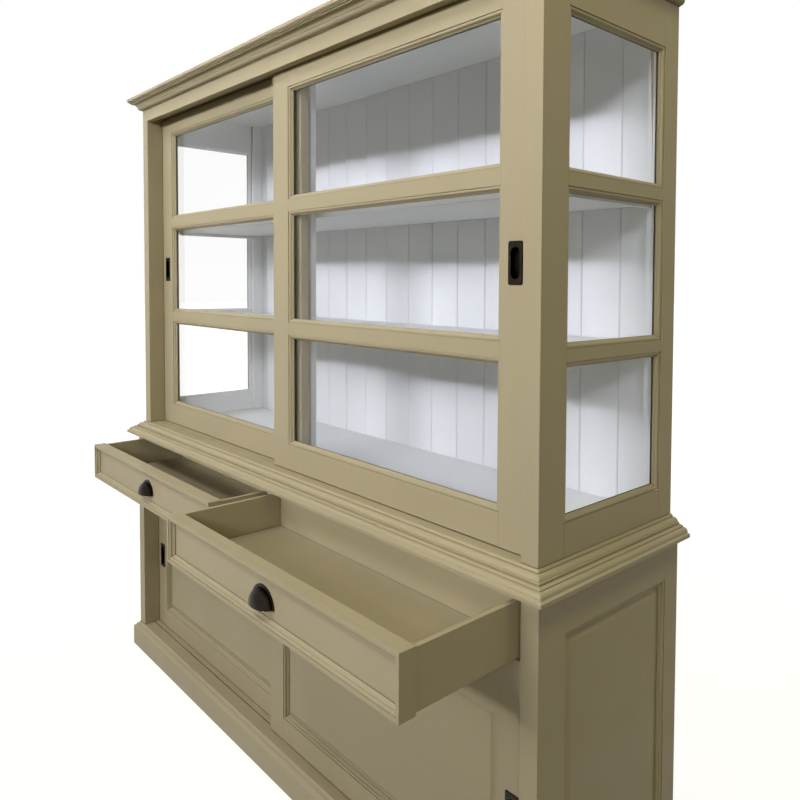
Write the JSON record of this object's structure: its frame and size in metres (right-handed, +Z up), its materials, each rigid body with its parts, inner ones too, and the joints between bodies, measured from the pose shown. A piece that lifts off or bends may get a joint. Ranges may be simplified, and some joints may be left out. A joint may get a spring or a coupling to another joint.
{
  "type": "dresser with hutch",
  "caption": "Wide painted dresser with a glazed hutch: sliding glass doors above, wide drawers at waist height and sliding panelled doors below, on a moulded plinth.",
  "frame": {"origin": "on the floor under the middle of the base cabinet, halfway along its width and its depth", "axes": "+X to the right seen from the front, +Y from the front to the back, +Z up"},
  "size_m": [2.062, 0.788, 2.06],
  "materials": {
    "beige_paint": "satin beige-olive paint over wood and fibreboard, fine brush and roller texture",
    "white_paint": "satin cool white paint over tongued and grooved boards and shelves",
    "dark_bronze": "dark oil-rubbed bronze finish, mottled, slightly worn on the edges",
    "clear_glass": "clear float glass, 4 mm",
    "screw_steel": "zinc plated steel",
    "bare_wood": "planed hardwood strip, waxed"
  },
  "bodies": {
    "cabinet": {"base_back": "beige_paint", "base_floor": "beige_paint", "base_partition": "beige_paint", "base_posts_front": "beige_paint", "base_posts_rear": "beige_paint", "base_shelves": "beige_paint", "base_side_mouldings": "beige_paint", "base_side_panels": "beige_paint", "base_side_rails": "beige_paint", "base_top": "beige_paint", "cornice": "beige_paint", "door_tracks": "beige_paint", "drawer_divider": "beige_paint", "drawer_rails": "beige_paint", "drawer_runners": "bare_wood", "dust_board": "beige_paint", "frieze": "beige_paint", "hutch_back_boards": "white_paint", "hutch_base_moulding": "beige_paint", "hutch_centre_post": "white_paint", "hutch_floor": "beige_paint", "hutch_posts_front": "beige_paint", "hutch_posts_rear": "beige_paint", "hutch_shelves": "white_paint", "hutch_side_beads": "beige_paint", "hutch_side_frame_left": "beige_paint", "hutch_side_frame_right": "beige_paint", "hutch_side_glass": "clear_glass", "hutch_top": "beige_paint", "plinth": "beige_paint", "plinth_bearers": "beige_paint", "shelf_cleats": "white_paint"},
    "left_drawer": {"left_drawer_bottom": "beige_paint", "left_drawer_box": "beige_paint", "left_drawer_front": "beige_paint", "left_drawer_moulding": "beige_paint", "left_drawer_pull": "dark_bronze", "left_drawer_screws": "screw_steel"},
    "right_drawer": {"right_drawer_bottom": "beige_paint", "right_drawer_box": "beige_paint", "right_drawer_front": "beige_paint", "right_drawer_moulding": "beige_paint", "right_drawer_pull": "dark_bronze", "right_drawer_screws": "screw_steel"},
    "left_glass_door": {"left_glass_door_beads": "beige_paint", "left_glass_door_frame": "beige_paint", "left_glass_door_glass": "clear_glass", "left_glass_door_pull": "dark_bronze"},
    "right_glass_door": {"right_glass_door_beads": "beige_paint", "right_glass_door_frame": "beige_paint", "right_glass_door_glass": "clear_glass", "right_glass_door_pull": "dark_bronze"},
    "left_panel_door": {"left_panel_door_frame": "beige_paint", "left_panel_door_moulding": "beige_paint", "left_panel_door_panel": "beige_paint", "left_panel_door_pull": "dark_bronze"},
    "right_panel_door": {"right_panel_door_frame": "beige_paint", "right_panel_door_moulding": "beige_paint", "right_panel_door_panel": "beige_paint", "right_panel_door_pull": "dark_bronze"}
  },
  "joints": [
    {"name": "left_drawer_slide", "type": "slide", "parent": "cabinet", "child": "left_drawer", "axis": [0, -1, 0], "range_m": [-0.168, 0.132]},
    {"name": "right_drawer_slide", "type": "slide", "parent": "cabinet", "child": "right_drawer", "axis": [0, -1, 0], "range_m": [-0.286, 0.014]},
    {"name": "left_glass_door_slide", "type": "slide", "parent": "cabinet", "child": "left_glass_door", "axis": [1, 0, 0], "range_m": [0, 0.883]},
    {"name": "right_glass_door_slide", "type": "slide", "parent": "cabinet", "child": "right_glass_door", "axis": [1, 0, 0], "range_m": [-0.883, 0]},
    {"name": "left_panel_door_slide", "type": "slide", "parent": "cabinet", "child": "left_panel_door", "axis": [1, 0, 0], "range_m": [0, 0.91]},
    {"name": "right_panel_door_slide", "type": "slide", "parent": "cabinet", "child": "right_panel_door", "axis": [1, 0, 0], "range_m": [-0.91, 0]}
  ]
}
